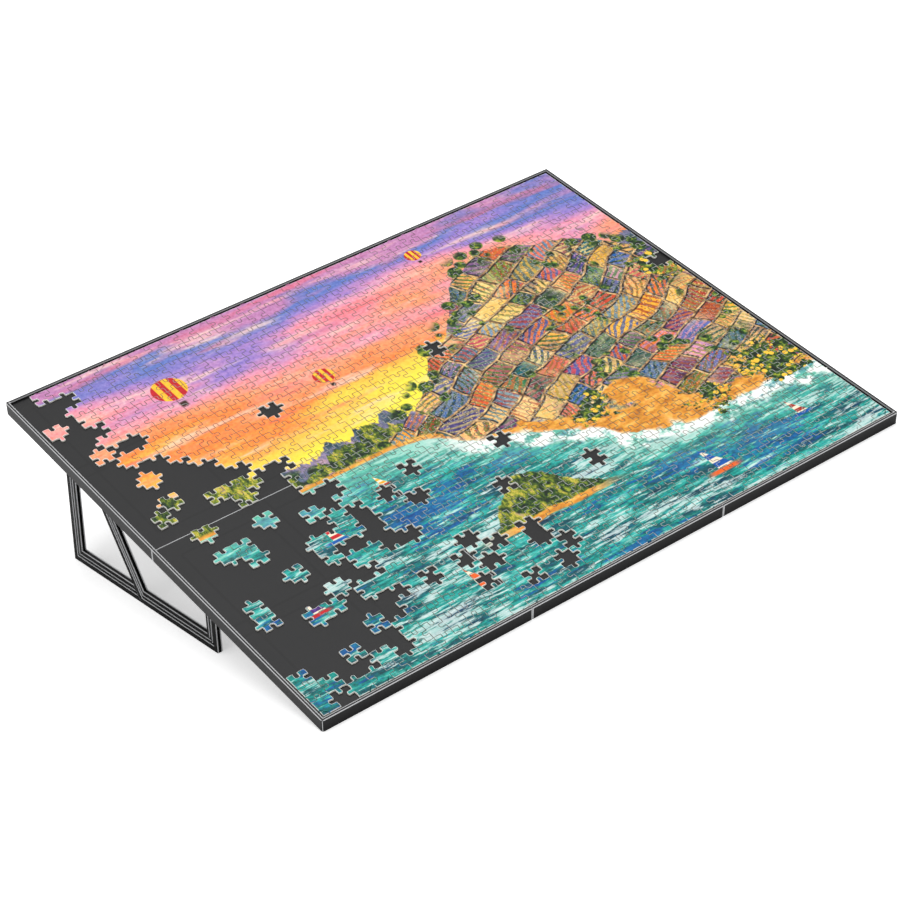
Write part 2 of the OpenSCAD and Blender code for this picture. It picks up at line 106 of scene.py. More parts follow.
class Sheet:
    def __init__(self, tree):
        self.tree = tree

    def put(self, kind, inputs=None, out=0, **settings):
        node = self.tree.nodes.new(kind)
        for key, value in settings.items():
            setattr(node, key, value)
        self.feedAll(node, inputs or {})
        return node.outputs[out] if out is not None else node

    def feed(self, socket, value):
        if isinstance(value, bpy.types.NodeSocket):
            self.tree.links.new(value, socket)
        else:
            socket.default_value = value

    def feedAll(self, node, inputs):
        for key, value in inputs.items():
            self.feed(node.inputs[key], value)

    def math(self, operation, *values):
        return self.put("ShaderNodeMath", dict(enumerate(values)), operation=operation)

    def plus(self, first, second):
        return self.math("ADD", first, second)

    def minus(self, first, second):
        return self.math("SUBTRACT", first, second)

    def times(self, first, second):
        return self.math("MULTIPLY", first, second)

    def absolute(self, value):
        return self.math("ABSOLUTE", value)

    def span(self, value, low, high, toLow=0.0, toHigh=1.0, smooth=True):
        # low to high carried to toLow to toHigh, and held there outside
        return self.put("ShaderNodeMapRange", {"Value": value, "From Min": low, "From Max": high,
                                               "To Min": toLow, "To Max": toHigh},
                        interpolation_type="SMOOTHSTEP" if smooth else "LINEAR")

    def mix(self, share, first, second, blend="MIX"):
        return self.put("ShaderNodeMix", {0: share, 6: first, 7: second}, out=2, data_type="RGBA",
                        blend_type=blend)

    def ramp(self, value, stops, steps=False):
        node = self.put("ShaderNodeValToRGB", {"Fac": value}, out=None)
        band = node.color_ramp
        band.interpolation = "CONSTANT" if steps else "LINEAR"
        while len(band.elements) < len(stops):
            band.elements.new(0.5)
        for element, (place, colour) in zip(band.elements, stops):
            element.position, element.color = place, colour
        return node.outputs[0]

    def vectorMath(self, operation, first, second):
        return self.put("ShaderNodeVectorMath", {0: first, 1: second}, operation=operation)

    def noise(self, vector, scale, detail=3.0, rough=0.5, out=0):
        return self.put("ShaderNodeTexNoise", {"Vector": vector, "Scale": scale, "Detail": detail,
                                               "Roughness": rough}, out=out)

    def cells(self, vector, scale):
        return self.put("ShaderNodeTexVoronoi", {"Vector": vector, "Scale": scale})

    def axes(self, vector):
        return self.put("ShaderNodeSeparateXYZ", {"Vector": vector}, out=None).outputs

    def vector(self, x=0.0, y=0.0, z=0.0):
        return self.put("ShaderNodeCombineXYZ", {"X": x, "Y": y, "Z": z})

    def grey(self, value):
        return self.vector(value, value, value)

    def own(self, kind="Object"):  # the object's own places, or its own normals
        return self.put("ShaderNodeTexCoord", out=kind)

    def group(self, tree, inputs=None, out=0):
        return self.put("ShaderNodeGroup", inputs, out=out, node_tree=tree)


def newGroup(name, inputs, outputs):
    tree = bpy.data.node_groups.new(name, "ShaderNodeTree")
    for label, kind in inputs.items():
        tree.interface.new_socket(name=label, in_out="INPUT", socket_type=kind)
    for label, kind in outputs.items():
        tree.interface.new_socket(name=label, in_out="OUTPUT", socket_type=kind)
    return Sheet(tree), tree.nodes.new("NodeGroupInput"), tree.nodes.new("NodeGroupOutput")


def newMaterial(name):
    material = bpy.data.materials.new(name)
    material.use_nodes = True
    return material, Sheet(material.node_tree), material.node_tree.nodes["Principled BSDF"]


def lineMask(sheet, value, place, width):  # 1 on a line across the value, fading to 0 at its width
    return sheet.span(sheet.absolute(sheet.minus(value, place)), width, width * 0.4)


def highest(sheet, masks):
    top = masks[0]
    for mask in masks[1:]:
        top = sheet.math("MAXIMUM", top, mask)
    return top


# Places on the flat board, read from an object's own coordinates

def buildBoardPlaces():
    sheet, _, result = newGroup("boardPlaces", {}, {
        "Across": "NodeSocketFloat", "Back": "NodeSocketFloat", "Height": "NodeSocketFloat"})
    middle, tilt = board["middle"], board["tilt"]
    flat = sheet.put("ShaderNodeMapping", {
        "Vector": sheet.own(), "Location": (0, middle * math.cos(tilt), -middle * math.sin(tilt)),
        "Rotation": (-tilt, 0, 0)})
    for socket, value in zip(result.inputs, sheet.axes(flat)):
        sheet.feed(socket, value)
    return sheet.tree


# Fine grain of a moulded surface: colour share, roughness and normal that vary a little

moulding = {
    "broadScale": 9.0, "broad": (0.3, 0.7), "broadShade": (0.93, 1.05),
    "fine": (0.2, 0.8), "fineShade": (-0.05, 0.05), "fineRough": (-0.06, 0.06), "strength": 0.5,
    "broken": (0.80, 0.75),
}


def buildMouldGrain():
    sheet, given, result = newGroup(
        "mouldGrain",
        {"Scale": "NodeSocketFloat", "Depth": "NodeSocketFloat", "Roughness": "NodeSocketFloat"},
        {"Shade": "NodeSocketFloat", "Roughness": "NodeSocketFloat", "Normal": "NodeSocketVector"})
    own = sheet.own()
    fine = sheet.noise(own, given.outputs["Scale"], 2.0)
    broad = sheet.noise(own, moulding["broadScale"])
    shade = sheet.plus(sheet.span(broad, *moulding["broad"], *moulding["broadShade"]),
                       sheet.span(fine, *moulding["fine"], *moulding["fineShade"]))
    rough = sheet.plus(given.outputs["Roughness"],
                       sheet.span(fine, *moulding["fine"], *moulding["fineRough"]))
    bump = sheet.put("ShaderNodeBump", {"Height": fine, "Distance": given.outputs["Depth"],
                                        "Strength": moulding["strength"]})
    sheet.feedAll(result, {"Shade": shade, "Roughness": rough, "Normal": bump})
    return sheet.tree


# Faces that stand square to none of the board's directions: its broken edges, seam vees and round corners

def buildBrokenEdges():
    sheet, _, result = newGroup("brokenEdges", {}, {"Mask": "NodeSocketFloat"})
    flat = sheet.put("ShaderNodeVectorRotate", {"Vector": sheet.own("Normal"), "Angle": -board["tilt"]},
                     rotation_type="X_AXIS")
    leans = [sheet.absolute(lean) for lean in sheet.axes(flat)]
    sheet.feed(result.inputs[0], sheet.span(highest(sheet, leans), *moulding["broken"]))
    return sheet.tree


boardPlaces = buildBoardPlaces()
mouldGrain = buildMouldGrain()
brokenEdges = buildBrokenEdges()
print("groups ready")


def grained(sheet, facts):  # the mould grain with a piece's own values: grey shade, roughness and normal
    shade, rough, normal = sheet.group(mouldGrain, {
        "Scale": facts["grain"], "Depth": facts["depth"], "Roughness": facts["roughness"]}, out=None).outputs
    return sheet.grey(shade), rough, normal


# Charcoal tray plastic, with painted highlight lines along its broken edges at rim and seams, and faint sink
# lines over the ribs. Of each pair the first is where a mask starts and the second where it is full. Shares
# are of the rim's width.

# the pale edge colour is a painted highlight, laid along broken edges, rim lines and seams, and dimmed at the
# far rims
tray = {
    "colour": srgb(27, 27, 28), "edge": srgb(214, 215, 217), "sink": srgb(22, 22, 23),
    "grain": 900.0, "depth": 0.00010, "roughness": 0.36, "specular": 0.17, "highlightShare": 0.85,
    "ribInset": 0.0218, "ribPair": 0.018, "sinkWidth": 0.0022, "sinkFade": 0.001, "deckBand": 0.0006,
    "underTop": (0.0002, 0.0001), "downWall": (0.0009, 0.0011), "underDeck": (0.0016, 0.0014),
    "outerLine": 0.0006, "outerFade": 0.0002, "innerLine": 0.0012, "innerShare": 0.33, "seamLine": 0.0018,
    "outerShares": (0.5, 0.6), "wallShares": (0.9, 0.95),
    "farShares": (1.1, 1.5), "farHighlight": 0.12, "farLip": 0.4,
}


def panelOffsets(sheet, across, back):  # distances from a tray's middle, folded so that all read alike
    offX = sheet.absolute(sheet.math("WRAP", across, panelWidth / 2, -panelWidth / 2))
    offY = sheet.absolute(sheet.minus(sheet.math("WRAP", back, panelDepth, 0.0), panelDepth / 2))
    return offX, offY


def sinkLines(sheet, offX, offY):  # the rib ring and the paired ribs of a tray
    ringX, ringY = panelWidth / 2 - tray["ribInset"], panelDepth / 2 - tray["ribInset"]
    pair, width, fade = tray["ribPair"] / 2, tray["sinkWidth"], tray["sinkFade"]
    sides = sheet.times(lineMask(sheet, offX, ringX, width), sheet.span(offY, ringY, ringY - fade))
    ends = sheet.times(lineMask(sheet, offY, ringY, width), sheet.span(offX, ringX, ringX - fade))
    pairs = [lineMask(sheet, offX, pair, width), lineMask(sheet, offY, pair, width)]
    return highest(sheet, [sides, ends, *pairs])


def trayPlastic():
    material, sheet, shader = newMaterial("trayPlastic")
    across, back, height = sheet.group(boardPlaces, out=None).outputs
    shade, rough, normal = grained(sheet, tray)
    edge = sheet.group(brokenEdges)
    top, deck, rim = board["edge"], board["deck"], board["rim"]
    halfWidth, halfDepth = board["width"] / 2, board["depth"] / 2
    offX, offY = panelOffsets(sheet, across, back)
    onDeck = lineMask(sheet, height, deck, tray["deckBand"])
    plain = sheet.mix(sheet.times(sinkLines(sheet, offX, offY), onDeck), tray["colour"], tray["sink"])
    shaded = sheet.mix(1.0, plain, shade, "MULTIPLY")
    # how far out from the rim's inner edge, and a painted highlight line along that edge on top of the rim
    outX = sheet.minus(sheet.absolute(across), halfWidth - rim)
    outY = sheet.minus(sheet.absolute(sheet.minus(back, halfDepth)), halfDepth - rim)
    out = highest(sheet, [outX, outY])
    onTop = sheet.span(height, *[top - down for down in tray["underTop"]])
    innerWidth = tray["innerLine"] * tray["innerShare"]
    inner = sheet.times(lineMask(sheet, out, tray["innerLine"], innerWidth), onTop)
    # a painted highlight on the broken edge outside the rim, and on the round corners below it
    outerHalf = [rim * share for share in tray["outerShares"]]
    onSide = sheet.times(sheet.span(height, *[top - down for down in tray["downWall"]]),
                         sheet.span(out, *outerHalf))
    onRim = sheet.span(out, rim - tray["outerLine"] - tray["outerFade"], rim - tray["outerLine"])
    outer = sheet.times(edge, highest(sheet, [onSide, onRim]))
    # the painted highlights are dimmed on the rims at the right and the rear
    start, end = [rim * share for share in tray["farShares"]]
    right = sheet.times(sheet.span(across, halfWidth - start, halfWidth - rim), sheet.span(back, rim, end))
    rear = sheet.times(sheet.span(back, board["depth"] - start, board["depth"] - rim),
                       sheet.span(across, rim - halfWidth, end - halfWidth))
    far = highest(sheet, [right, rear])
    onRims = sheet.times(highest(sheet, [inner, outer]), sheet.span(far, 0.0, 1.0, 1.0, tray["farHighlight"]))
    # a painted highlight line down the side walls at each seam
    wall = [rim * share for share in tray["wallShares"]]
    acrossSeam = sheet.times(lineMask(sheet, offX, panelWidth / 2, tray["seamLine"]),
                             sheet.times(sheet.span(outY, *wall), sheet.span(outX, 0.0, -rim)))
    backSeam = sheet.times(lineMask(sheet, offY, panelDepth / 2, tray["seamLine"]),
                           sheet.times(sheet.span(outX, *wall), sheet.span(outY, 0.0, -rim)))
    # painted highlights on the vees between the decks and the rim's inner lip
    seams = sheet.times(edge, sheet.span(height, *[deck - down for down in tray["underDeck"]]))
    seams = sheet.times(seams, sheet.span(out, *outerHalf[::-1]))
    seams = sheet.times(seams, sheet.span(far, 0.0, 1.0, 1.0, tray["farLip"]))
    # together these lay painted highlights in the pale edge colour over the charcoal
    paintedHighlights = sheet.times(highest(sheet, [onRims, seams, acrossSeam, backSeam]), tray["highlightShare"])
    sheet.feedAll(shader, {"Base Color": sheet.mix(paintedHighlights, shaded, tray["edge"]), "Roughness": rough,
                           "Normal": normal, "Specular IOR Level": tray["specular"]})
    return material


# Black leg plastic, with painted highlight lines on the lips along both faces of its bars, and drawn steel

# the pale edge colour is a painted highlight along the bars' lips
leg = {
    "colour": srgb(10, 10, 11), "edge": srgb(236, 237, 239), "grain": 700.0, "depth": 0.0001,
    "roughness": 0.42, "specular": 0.04, "highlightShare": 0.95,
    "outer": 0.3724, "inner": 0.3664, "edgeWidth": 0.0016, "edgeShare": 0.6, "sideways": (0.6, 0.4),
}
rod = {
    "colour": srgb(176, 178, 180), "dark": srgb(150, 152, 155), "streak": (1200.0, 30.0, 30.0),
    "spread": (0.3, 0.7), "roughness": (0.28, 0.40),
}


def legPlastic():
    material, sheet, shader = newMaterial("legPlastic")
    shade, rough, normal = grained(sheet, leg)
    side = sheet.absolute(sheet.axes(sheet.own())[0])
    lean = sheet.absolute(sheet.axes(sheet.own("Normal"))[0])
    # the lips of both faces get a painted highlight in the pale edge colour, kept off the bars' flat faces
    wide, full = leg["edgeWidth"], leg["edgeWidth"] * leg["edgeShare"]
    lips = highest(sheet, [sheet.span(side, leg["outer"] - wide, leg["outer"] - full),
                           sheet.span(side, leg["inner"] + wide, leg["inner"] + full)])
    edge = sheet.times(lips, sheet.span(lean, *leg["sideways"]))
    plain = sheet.mix(1.0, leg["colour"], shade, "MULTIPLY")
    sheet.feedAll(shader, {"Base Color": sheet.mix(sheet.times(edge, leg["highlightShare"]), plain, leg["edge"]),
                           "Roughness": rough, "Normal": normal, "Specular IOR Level": leg["specular"]})
    return material


def drawnSteel():
    material, sheet, shader = newMaterial("drawnSteel")
    drawn = sheet.put("ShaderNodeMapping", {"Vector": sheet.own(), "Scale": rod["streak"]})
    streaks = sheet.noise(drawn, 1.0, 2.0)
    sheet.feedAll(shader, {
        "Base Color": sheet.mix(sheet.span(streaks, *rod["spread"]), rod["dark"], rod["colour"]),
        "Roughness": sheet.span(streaks, *rod["spread"], *rod["roughness"]), "Metallic": 1.0})
    return material


# Print on the jigsaw: a lake along the front with a wooded island, a round hill of flower terraces, low
# hills, sails and balloons under an evening sky. Places on it run from 0 to 1.25 across and 0 to 1 from front
# to back. Sails, balloons and trees are across, high and size; humps are across, width and height; the island
# is across, high, width and height.

scenery = {
    "horizon": 0.47, "nearShore": 0.19, "island": (0.60, 0.17, 0.085, 0.13),
    "farHump": (1.27, 0.22, 0.24), "nearHumps": [(0.14, 0.14, 0.13), (0.44, 0.10, 0.05)],
    "terraceHump": (0.98, 0.30, 0.40), "strandHump": (0.90, 0.20, 0.12),
    "balloons": [(0.25, 0.86, 0.036), (0.50, 0.72, 0.022), (0.86, 0.93, 0.018)],
    "sails": [(0.25, 0.33, 0.050), (0.40, 0.40, 0.034), (0.38, 0.08, 0.070), (0.12, 0.20, 0.055),
              (0.90, 0.07, 0.075), (1.12, 0.10, 0.050)],
    "sailStripes": (0, 1, 3, 7, 2, 9), "hulls": (2, 9, 5, 0, 3, 2),
    "trees": [(1.19, 0.25, 0.060), (0.83, 0.34, 0.036), (1.03, 0.24, 0.030), (1.22, 0.62, 0.045)],
    "bed": {"Brick Width": 0.074, "Row Height": 0.040, "Mortar Size": 0.0022, "Mortar Smooth": 0.3},
    "bond": {"offset": 0.37, "squash": 0.7, "squash_frequency": 3},
    "gamma": 1.14, "ink": (0.05, 0.34, 0.15, 1.04),
}
tones = {
    "sky": [(0.54, srgb(255, 240, 92)), (0.63, srgb(255, 214, 96)), (0.70, srgb(252, 158, 80)),
            (0.77, srgb(250, 176, 130)), (0.84, srgb(238, 172, 196)), (0.90, srgb(176, 148, 214)),
            (0.96, srgb(112, 140, 206)), (1.0, srgb(206, 150, 196))],
    "wisps": srgb(255, 226, 210), "streaks": srgb(240, 128, 140),
    "farHill": [(0.30, srgb(40, 74, 120)), (0.44, srgb(86, 124, 140)), (0.55, srgb(150, 142, 178)),
                (0.68, srgb(206, 176, 190))],
    "nearHill": [(0.30, srgb(24, 62, 74)), (0.42, srgb(50, 104, 52)), (0.50, srgb(136, 158, 46)),
                 (0.58, srgb(222, 208, 90)), (0.70, srgb(160, 128, 170))],
    "blooms": [srgb(212, 38, 48), srgb(250, 196, 60), srgb(20, 104, 190), srgb(240, 120, 50),
               srgb(236, 168, 206), srgb(10, 136, 140), srgb(252, 226, 150), srgb(110, 70, 160),
               srgb(70, 158, 60), srgb(186, 62, 42), srgb(248, 206, 120), srgb(60, 160, 200)],
    "leaf": [(0.35, srgb(24, 78, 50)), (0.65, srgb(112, 160, 60))],
    "zones": [(0.36, srgb(40, 132, 170)), (0.44, srgb(236, 178, 206)), (0.52, srgb(248, 206, 96)),
              (0.62, srgb(214, 84, 52))],
    "petals": srgb(255, 244, 214), "sunlit": srgb(255, 232, 176), "shaded": srgb(40, 52, 110),
    "cast": srgb(44, 30, 60), "path": [(0.35, srgb(150, 104, 66)), (0.65, srgb(244, 214, 158))],
    "shrubs": [(0.36, srgb(14, 58, 38)), (0.5, srgb(56, 126, 50)), (0.66, srgb(196, 206, 84))],
    "foliage": [(0.36, srgb(16, 56, 36)), (0.5, srgb(60, 122, 44)), (0.66, srgb(190, 196, 66))],
    "blossom": srgb(255, 214, 84),
    "water": [(0.30, srgb(0, 84, 128)), (0.42, srgb(0, 132, 140)), (0.52, srgb(20, 172, 160)),
              (0.60, srgb(72, 196, 188)), (0.70, srgb(214, 240, 232))],
    "glints": srgb(232, 248, 244), "troughs": srgb(0, 96, 150), "calm": srgb(226, 238, 236),
    "deep": srgb(16, 96, 184), "shallow": srgb(150, 222, 200), "foam": srgb(252, 254, 250),
    "strand": [(0.30, srgb(190, 120, 44)), (0.5, srgb(236, 176, 70)), (0.7, srgb(255, 218, 130))],
    "sailcloth": srgb(252, 240, 220), "balloon": (srgb(206, 40, 52), srgb(252, 208, 70)),
    "basket": srgb(110, 66, 40), "brush": [(0.3, srgb(60, 60, 68)), (0.7, srgb(212, 212, 208))],
}


def hump(sheet, u, middle, width, height):  # a bell curve over the place across
    off = sheet.math("DIVIDE", sheet.minus(u, middle), width)
    return sheet.times(sheet.math("POWER", 2.718, sheet.times(sheet.times(off, off), -1.0)), height)


def farOff(sheet, across, high):  # length of a way across and up
    return sheet.math("SQRT", sheet.plus(sheet.times(across, across), sheet.times(high, high)))


def under(sheet, line, v, soft):  # 1 under a line over the print, with a soft edge
    return sheet.span(sheet.minus(line, v), 0.0, soft)


def stretched(sheet, place, x, y, turn=0.0, shift=0.0):
    return sheet.put("ShaderNodeMapping", {"Vector": place, "Scale": (x, y, 1), "Rotation": (0, 0, turn),
                                           "Location": (shift, 0, 0)})


def paintSky(sheet, place, v):
    drift = sheet.noise(stretched(sheet, place, 2.0, 7.0, -0.25), 1.0, 4.0)
    sky = sheet.ramp(sheet.plus(v, sheet.span(drift, 0.25, 0.75, -0.10, 0.10)), tones["sky"])
    wisps = sheet.noise(stretched(sheet, place, 4, 30, -0.25, 3.1), 1.0, 5.0, 0.55)
    sky = sheet.mix(sheet.span(wisps, 0.50, 0.72, 0.0, 0.75), sky, tones["wisps"])
    streaks = sheet.noise(stretched(sheet, place, 3, 24, -0.25, 7.7), 1.0, 4.0)
    return sheet.mix(sheet.span(streaks, 0.54, 0.74, 0.0, 0.6), sky, tones["streaks"])


def paintFields(sheet, place):
    # terraces of flower beds in bent rows, each bed furrowed in its own way, with paths and shrubs between
    bend = sheet.vectorMath("MULTIPLY", sheet.noise(place, 4.0, out=1), (0.11, 0.09, 0))
    bent = sheet.vectorMath("ADD", place, bend)
    sloped = stretched(sheet, bent, 1, 1, -0.42)
    layout = {"Color1": (0, 0, 0, 1), "Color2": (1, 1, 1, 1), "Scale": 1.0, "Mortar": (0.5, 0.5, 0.5, 1),
              **scenery["bed"]}
    beds = sheet.put("ShaderNodeTexBrick", {"Vector": sloped, **layout}, out=None, **scenery["bond"])
    pick, gap = beds.outputs
    behind = sheet.vectorMath("ADD", sloped, (-0.0032, 0.0036, 0))
    shadow = sheet.put("ShaderNodeTexBrick", {"Vector": behind, **layout}, out=1, **scenery["bond"])
    other = sheet.math("FRACT", sheet.times(pick, 7.3))
    count = len(tones["blooms"])
    stops = [(k / count, colour) for k, colour in enumerate(tones["blooms"])]
    base, second = sheet.ramp(pick, stops, steps=True), sheet.ramp(other, stops, steps=True)
    turned = sheet.put("ShaderNodeVectorRotate", {"Vector": bent, "Angle": sheet.times(other, 3.1)},
                       rotation_type="Z_AXIS")
    rows = sheet.put("ShaderNodeTexWave", {"Vector": turned, "Scale": 26.0, "Distortion": 2.0, "Detail": 4.0,
                                           "Detail Scale": 2.0}, out=1)
    base = sheet.mix(0.25, base, sheet.ramp(sheet.noise(place, 3.4, 1.0), tones["zones"]))
    leaf = sheet.ramp(sheet.noise(place, 90.0), tones["leaf"])
    furrow = sheet.mix(0.22, sheet.mix(sheet.math("FRACT", sheet.times(other, 5.0)), leaf, second), base)
    bed = sheet.mix(sheet.span(rows, 0.30, 0.50), furrow, base)
    bed = sheet.mix(sheet.span(sheet.cells(place, 150.0), 0.32, 0.20, 0.0, 0.9), bed, second)
    bed = sheet.mix(sheet.span(sheet.cells(place, 210.0), 0.22, 0.12, 0.0, 0.85), bed, tones["petals"])
    light = sheet.noise(sloped, 14.0)
    bed = sheet.mix(sheet.span(light, 0.5, 0.72, 0.0, 0.55), bed, tones["sunlit"])
    bed = sheet.mix(sheet.span(light, 0.46, 0.26, 0.0, 0.5), bed, tones["shaded"])
    bed = sheet.mix(sheet.times(shadow, 0.72), bed, tones["cast"])
    bed = sheet.mix(gap, bed, sheet.ramp(sheet.noise(place, 60.0, 4.0), tones["path"]))
    shrubs = sheet.times(sheet.span(sheet.cells(bent, 30.0), 0.40, 0.30),
                         sheet.span(sheet.noise(place, 9.0, 2.0), 0.50, 0.56))
    return sheet.mix(shrubs, bed, sheet.ramp(sheet.noise(place, 80.0, 5.0, 0.7), tones["shrubs"]))


def paintLake(sheet, place, fromShore):
    # long swell, short waves on it, broad calm and deep reaches, and pale shallows along the shore
    swell = sheet.noise(stretched(sheet, place, 9, 52, 0.12), 1.0, 5.0, 0.6)
    short = sheet.noise(stretched(sheet, place, 22, 150, -0.05), 1.0, 4.0, 0.6)
    water = sheet.ramp(swell, tones["water"])
    water = sheet.mix(sheet.span(short, 0.56, 0.70, 0.0, 0.8), water, tones["glints"])
    water = sheet.mix(sheet.span(short, 0.44, 0.34, 0.0, 0.6), water, tones["troughs"])
    broad = sheet.plus(sheet.noise(stretched(sheet, place, 3.2, 11, 0.1, 4.4), 1.0),
                       sheet.span(short, 0.3, 0.7, -0.12, 0.12))
    water = sheet.mix(sheet.span(broad, 0.54, 0.64, 0.0, 0.75), water, tones["calm"])
    water = sheet.mix(sheet.span(broad, 0.44, 0.34, 0.0, 0.7), water, tones["deep"])
    return sheet.mix(sheet.span(fromShore, 0.12, 0.0), water, sheet.mix(0.55, water, tones["shallow"]))


def paintTrees(sheet, scene, place, u, v, foliage):  # ragged round crowns with yellow blossom
    for across, high, size in scenery["trees"]:
        far = farOff(sheet, sheet.minus(u, across), sheet.minus(v, high))
        ragged = sheet.plus(far, sheet.span(sheet.noise(place, 26.0, 5.0, 0.7), 0.25, 0.75, -0.05, 0.05))
        crown = sheet.span(ragged, size, size * 0.93)
        scene = sheet.mix(crown, scene, foliage)
        blossom = sheet.times(sheet.span(sheet.cells(place, 64.0), 0.40, 0.30), crown)
        scene = sheet.mix(blossom, scene, tones["blossom"])
    return scene


def paintSails(sheet, scene, u, v):  # a right-angled triangle on a dark hull, each with a stripe of its own
    spots = zip(scenery["sails"], scenery["sailStripes"], scenery["hulls"])
    for (across, high, size), stripeTone, hullTone in spots:
        du, dv = sheet.minus(u, across), sheet.minus(v, high)
        slant = sheet.plus(sheet.times(dv, 0.55), du)
        inside = sheet.times(sheet.span(slant, 0.5 * size, 0.46 * size), sheet.span(du, 0.0, 0.03 * size))
        inside = sheet.times(inside, sheet.span(dv, 0.0, 0.03 * size))
        stripe = sheet.span(sheet.math("PINGPONG", dv, 0.16 * size), 0.06 * size, 0.09 * size)
        scene = sheet.mix(inside, scene, sheet.mix(stripe, tones["sailcloth"], tones["blooms"][stripeTone]))
        hull = sheet.times(lineMask(sheet, dv, -0.07 * size, 0.10 * size),
                           lineMask(sheet, du, 0.14 * size, 0.62 * size))
        scene = sheet.mix(hull, scene, tones["blooms"][hullTone])
    return scene


def paintBalloons(sheet, scene, u, v):  # striped discs in the sky with a small basket below
    for across, high, size in scenery["balloons"]:
        du, dv = sheet.minus(u, across), sheet.minus(v, high)
        stripe = sheet.span(sheet.math("SINE", sheet.times(du, 9.6 / size)), -0.15, 0.15)
        disc = sheet.span(farOff(sheet, du, dv), size, size * 0.94)
        scene = sheet.mix(disc, scene, sheet.mix(stripe, *tones["balloon"]))
        basket = sheet.times(lineMask(sheet, dv, -1.45 * size, 0.3 * size),
                             lineMask(sheet, du, 0.0, 0.3 * size))
        scene = sheet.mix(basket, scene, tones["basket"])
    return scene


